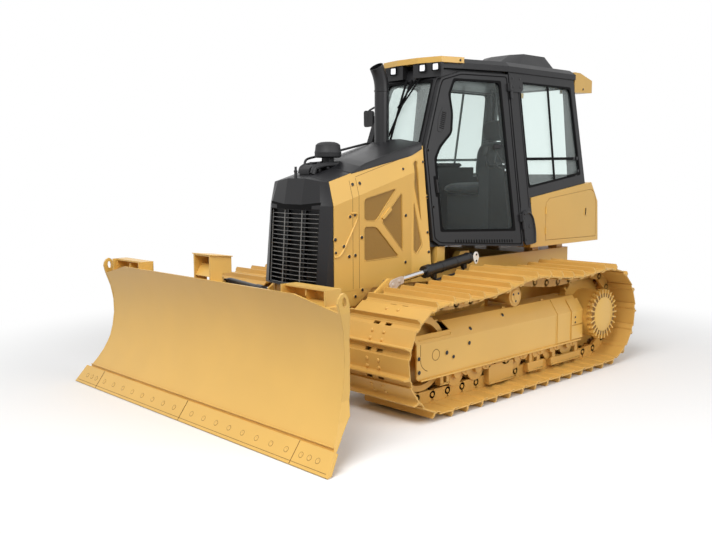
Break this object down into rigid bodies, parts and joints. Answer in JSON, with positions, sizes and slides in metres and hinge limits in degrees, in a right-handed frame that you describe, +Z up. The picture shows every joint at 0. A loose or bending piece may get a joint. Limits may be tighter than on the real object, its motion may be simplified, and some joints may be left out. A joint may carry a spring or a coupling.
{
  "type": "crawler bulldozer",
  "caption": "Small crawler bulldozer: wide steel tracks with grousers, sloped hood, glazed cab with opening doors and a six-way blade that lifts, angles and tilts",
  "frame": {"origin": "middle of the bounding box, on the ground under the tracks", "axes": "+X forwards to the blade, +Y to the machine's left, +Z up"},
  "size_m": [4.2, 2.9318, 2.614],
  "materials": {
    "yellow_paint": "satin yellow paint",
    "track_paint": "satin yellow paint over cast and rolled steel",
    "running_gear": "satin yellow paint",
    "mesh_paint": "perforated sheet, painted",
    "dark_paint": "satin charcoal paint",
    "black_parts": "matt black",
    "black_steel": "satin black paint on steel",
    "engine_grey": "dark cast iron",
    "chrome_rod": "hard chrome",
    "glass": "clear, faintly green",
    "seat_fabric": "dark woven cover"
  },
  "bodies": {
    "chassis": {"track_chain_left": "track_paint", "track_chain_right": "track_paint", "sprocket_left": "yellow_paint", "sprocket_right": "yellow_paint", "final_drive_left": "yellow_paint", "final_drive_right": "yellow_paint", "track_wheels_left": "running_gear", "track_wheels_right": "running_gear", "track_frame_left": "yellow_paint", "track_frame_right": "yellow_paint", "main_frame": "yellow_paint", "engine": "engine_grey", "hood_side_left": "yellow_paint", "hood_side_right": "yellow_paint", "hood_mesh": "mesh_paint", "hood_cap": "dark_paint", "nose": "dark_paint", "grille": "black_steel", "exhaust_stack": "black_steel", "air_precleaner": "black_parts", "cab_frame": "dark_paint", "cab_roof": "dark_paint", "cab_glass": "glass", "visor": "yellow_paint", "lamp_housings": "black_parts", "rear_body": "yellow_paint", "seat_base": "black_parts", "seat_cushions": "seat_fabric"},
    "lift_frame": {"lift_frame": "yellow_paint"},
    "angle_yoke": {"angle_yoke": "yellow_paint"},
    "blade": {"blade": "yellow_paint", "cutting_edge": "yellow_paint"},
    "tilt_barrel": {"tilt_barrel": "black_steel"},
    "tilt_rod": {"tilt_rod": "chrome_rod"},
    "door_left": {"door_left": "dark_paint", "door_glass_left": "glass"},
    "service_door_left": {"service_door_left": "yellow_paint"},
    "lift_barrel_left": {"lift_barrel_left": "black_steel"},
    "lift_rod_left": {"lift_rod_left": "chrome_rod"},
    "angle_barrel_left": {"angle_barrel_left": "black_steel"},
    "angle_rod_left": {"angle_rod_left": "chrome_rod"},
    "door_right": {"door_right": "dark_paint", "door_glass_right": "glass"},
    "service_door_right": {"service_door_right": "yellow_paint"},
    "lift_barrel_right": {"lift_barrel_right": "black_steel"},
    "lift_rod_right": {"lift_rod_right": "chrome_rod"},
    "angle_barrel_right": {"angle_barrel_right": "black_steel"},
    "angle_rod_right": {"angle_rod_right": "chrome_rod"}
  },
  "joints": [
    {"name": "blade_lift", "type": "hinge", "parent": "chassis", "child": "lift_frame", "pos_m": [-0.6, 0, 0.43], "axis": [0, -1, 0], "range_deg": [-12, 14]},
    {"name": "blade_angle", "type": "hinge", "parent": "lift_frame", "child": "angle_yoke", "pos_m": [1.68, 0, 0.415], "axis": [0, 0, 1], "range_deg": [-25, 25]},
    {"name": "blade_tilt", "type": "hinge", "parent": "angle_yoke", "child": "blade", "pos_m": [1.786, 0, 0.415], "axis": [1, 0, 0], "range_deg": [-8, 8]},
    {"name": "lift_barrel_pin_left", "type": "hinge", "parent": "chassis", "child": "lift_barrel_left", "pos_m": [-0.31, 0.496, 0.925], "axis": [0, -1, 0], "range_deg": [-16, 19]},
    {"name": "lift_rod_slide_left", "type": "slide", "parent": "lift_barrel_left", "child": "lift_rod_left", "axis": [0.9921, 0, -0.1254], "range_m": [-0.13, 0.12]},
    {"name": "angle_barrel_pin_left", "type": "hinge", "parent": "lift_frame", "child": "angle_barrel_left", "pos_m": [0.83, 0.472, 0.57], "axis": [0, 0, 1], "range_deg": [-3, 3]},
    {"name": "angle_rod_slide_left", "type": "slide", "parent": "angle_barrel_left", "child": "angle_rod_left", "axis": [0.9989, -0.0461, 0], "range_m": [-0.19, 0.19]},
    {"name": "lift_barrel_pin_right", "type": "hinge", "parent": "chassis", "child": "lift_barrel_right", "pos_m": [-0.31, -0.496, 0.925], "axis": [0, -1, 0], "range_deg": [-16, 19]},
    {"name": "lift_rod_slide_right", "type": "slide", "parent": "lift_barrel_right", "child": "lift_rod_right", "axis": [0.9921, 0, -0.1254], "range_m": [-0.13, 0.12]},
    {"name": "angle_barrel_pin_right", "type": "hinge", "parent": "lift_frame", "child": "angle_barrel_right", "pos_m": [0.83, -0.472, 0.57], "axis": [0, 0, 1], "range_deg": [-3, 3]},
    {"name": "angle_rod_slide_right", "type": "slide", "parent": "angle_barrel_right", "child": "angle_rod_right", "axis": [0.9989, 0.0461, 0], "range_m": [-0.19, 0.19]},
    {"name": "tilt_barrel_pin", "type": "hinge", "parent": "angle_yoke", "child": "tilt_barrel", "pos_m": [1.698, 0.03, 0.872], "axis": [1, 0, 0], "range_deg": [-9, 9]},
    {"name": "tilt_rod_slide", "type": "slide", "parent": "tilt_barrel", "child": "tilt_rod", "axis": [0, 0.9979, -0.0654], "range_m": [-0.07, 0.07]},
    {"name": "cab_door_left", "type": "hinge", "parent": "chassis", "child": "door_left", "pos_m": [-0.809, 0.6525, 1], "axis": [0, -0.1314, 0.9913], "range_deg": [0, 120]},
    {"name": "cab_door_right", "type": "hinge", "parent": "chassis", "child": "door_right", "pos_m": [-0.809, -0.6525, 1], "axis": [0, -0.1314, -0.9913], "range_deg": [0, 120]},
    {"name": "service_door_hinge_left", "type": "hinge", "parent": "chassis", "child": "service_door_left", "pos_m": [-1.178, 0.602, 1.2], "axis": [0, 0, -1], "range_deg": [0, 75]},
    {"name": "service_door_hinge_right", "type": "hinge", "parent": "chassis", "child": "service_door_right", "pos_m": [-1.178, -0.602, 1.2], "axis": [0, 0, 1], "range_deg": [0, 75]}
  ],
  "couplings": [
    {"joint": "lift_barrel_pin_left", "follows": "blade_lift", "ratio": 1.253},
    {"joint": "lift_rod_slide_left", "follows": "blade_lift", "m_per_rad": -0.5139},
    {"joint": "angle_barrel_pin_left", "follows": "blade_angle", "ratio": 0.02792},
    {"joint": "angle_rod_slide_left", "follows": "blade_angle", "m_per_rad": -0.42099},
    {"joint": "lift_barrel_pin_right", "follows": "blade_lift", "ratio": 1.253},
    {"joint": "lift_rod_slide_right", "follows": "blade_lift", "m_per_rad": -0.5139},
    {"joint": "angle_barrel_pin_right", "follows": "blade_angle", "ratio": 0.02792},
    {"joint": "angle_rod_slide_right", "follows": "blade_angle", "m_per_rad": 0.42099},
    {"joint": "tilt_barrel_pin", "follows": "blade_tilt", "ratio": 1.0055},
    {"joint": "tilt_rod_slide", "follows": "blade_tilt", "m_per_rad": -0.45682}
  ]
}
